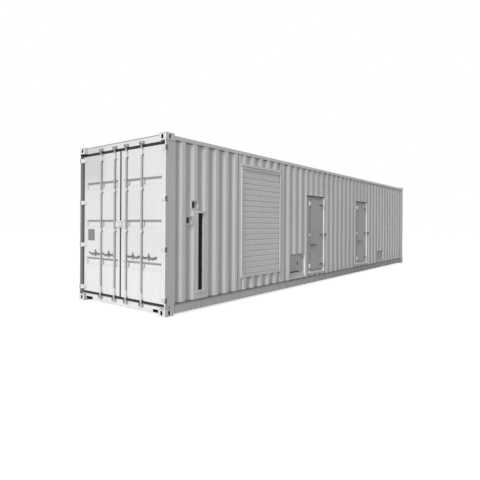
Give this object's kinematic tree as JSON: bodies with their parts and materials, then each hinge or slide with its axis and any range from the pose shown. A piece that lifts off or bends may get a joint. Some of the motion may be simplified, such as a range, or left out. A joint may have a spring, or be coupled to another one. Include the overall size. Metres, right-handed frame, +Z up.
{
  "type": "containerised silent diesel generator enclosure",
  "caption": "Long steel container enclosure of a silent diesel generator, with corrugated walls, hinged cargo doors with lock bars, personnel doors and a louvred shutter.",
  "frame": {"origin": "centre of the container's footprint, on the ground under the corner fittings", "axes": "+X along the container away from the cargo doors, +Y across it away from the service side, +Z up"},
  "size_m": [12.192, 2.438, 2.896],
  "materials": {
    "body_paint": "semi-gloss off-white paint on steel",
    "frame_paint": "off-white paint on steel with road dirt",
    "shutter_paint": "satin off-white paint",
    "bar_steel": "galvanized steel, painted grey-white",
    "hinge_steel": "steel, paint worn at the knuckles",
    "lever_metal": "dark satin metal",
    "black_rubber": "matt black rubber",
    "dark_panel": "matt black",
    "floor_plate": "dark grey floor plate"
  },
  "bodies": {
    "container": {"back_wall": "body_paint", "bar_keepers": "bar_steel", "blind_end_posts": "body_paint", "blind_end_rails": "body_paint", "bottom_corner_fittings": "body_paint", "bottom_side_rails": "frame_paint", "cargo_hinge_pins": "bar_steel", "connection_box": "body_paint", "cross_members": "frame_paint", "door_buffers": "black_rubber", "door_end_posts": "body_paint", "door_header": "body_paint", "door_sill": "body_paint", "door_wall_bands": "body_paint", "end_wall": "body_paint", "floor": "floor_plate", "gland_plugs": "black_rubber", "gland_pockets": "body_paint", "hatch_grille": "shutter_paint", "hatch_housing": "body_paint", "personnel_door_frame_1": "body_paint", "personnel_door_frame_2": "body_paint", "personnel_hinge_lugs": "hinge_steel", "roof": "body_paint", "service_wall_box": "body_paint", "service_wall_far": "body_paint", "service_wall_middle": "body_paint", "service_wall_near": "body_paint", "shutter_frame": "body_paint", "shutter_slats": "shutter_paint", "shutter_wall_bands": "body_paint", "slot_panel": "dark_panel", "slot_surround": "body_paint", "top_corner_fittings": "body_paint", "top_side_rails": "body_paint"},
    "right_door": {"cargo_door_right": "body_paint", "cargo_gasket_right": "black_rubber", "cargo_hardware_right": "bar_steel"},
    "left_door": {"cargo_door_left": "body_paint", "cargo_gasket_left": "black_rubber", "cargo_hardware_left": "bar_steel"},
    "right_inner_bar": {"lock_bar_right_inner": "bar_steel"},
    "right_outer_bar": {"lock_bar_right_outer": "bar_steel"},
    "left_inner_bar": {"lock_bar_left_inner": "bar_steel"},
    "left_outer_bar": {"lock_bar_left_outer": "bar_steel"},
    "personnel_leaf_1": {"personnel_door_1": "body_paint", "personnel_hinges_1": "hinge_steel"},
    "personnel_leaf_2": {"personnel_door_2": "body_paint", "personnel_hinges_2": "hinge_steel"},
    "lever_1": {"door_lever_1": "lever_metal"},
    "lever_2": {"door_lever_2": "lever_metal"},
    "box_flap": {"connection_flap": "body_paint"}
  },
  "joints": [
    {"name": "right_cargo_door", "type": "hinge", "parent": "container", "child": "right_door", "pos_m": [-6.084, -1.207, 1.4], "axis": [0, 0, 1], "range_deg": [0, 270]},
    {"name": "left_cargo_door", "type": "hinge", "parent": "container", "child": "left_door", "pos_m": [-6.084, 1.207, 1.4], "axis": [0, 0, -1], "range_deg": [0, 270]},
    {"name": "right_inner_lock_bar", "type": "hinge", "parent": "right_door", "child": "right_inner_bar", "pos_m": [-6.056, -0.165, 0.912], "axis": [0, 0, 1], "range_deg": [-100, 0]},
    {"name": "right_outer_lock_bar", "type": "hinge", "parent": "right_door", "child": "right_outer_bar", "pos_m": [-6.056, -0.578, 0.912], "axis": [0, 0, 1], "range_deg": [-100, 0]},
    {"name": "left_inner_lock_bar", "type": "hinge", "parent": "left_door", "child": "left_inner_bar", "pos_m": [-6.056, 0.165, 0.912], "axis": [0, 0, -1], "range_deg": [-100, 0]},
    {"name": "left_outer_lock_bar", "type": "hinge", "parent": "left_door", "child": "left_outer_bar", "pos_m": [-6.056, 0.578, 0.912], "axis": [0, 0, -1], "range_deg": [-100, 0]},
    {"name": "personnel_door_hinge_1", "type": "hinge", "parent": "container", "child": "personnel_leaf_1", "pos_m": [-0.648, -1.204, 1.2], "axis": [0, 0, 1], "range_deg": [0, 150]},
    {"name": "lever_turn_1", "type": "hinge", "parent": "personnel_leaf_1", "child": "lever_1", "pos_m": [-1.258, -1.2, 0.95], "axis": [0, 1, 0], "range_deg": [0, 45], "stiffness_Nm_per_rad": 1, "springref_deg": -34.38},
    {"name": "personnel_door_hinge_2", "type": "hinge", "parent": "container", "child": "personnel_leaf_2", "pos_m": [2.347, -1.204, 1.2], "axis": [0, 0, 1], "range_deg": [0, 150]},
    {"name": "lever_turn_2", "type": "hinge", "parent": "personnel_leaf_2", "child": "lever_2", "pos_m": [1.737, -1.2, 0.95], "axis": [0, 1, 0], "range_deg": [0, 45], "stiffness_Nm_per_rad": 1, "springref_deg": -34.38},
    {"name": "connection_flap_hinge", "type": "hinge", "parent": "container", "child": "box_flap", "pos_m": [-2.316, -1.185, 0.56], "axis": [0, 0, -1], "range_deg": [0, 100]}
  ]
}
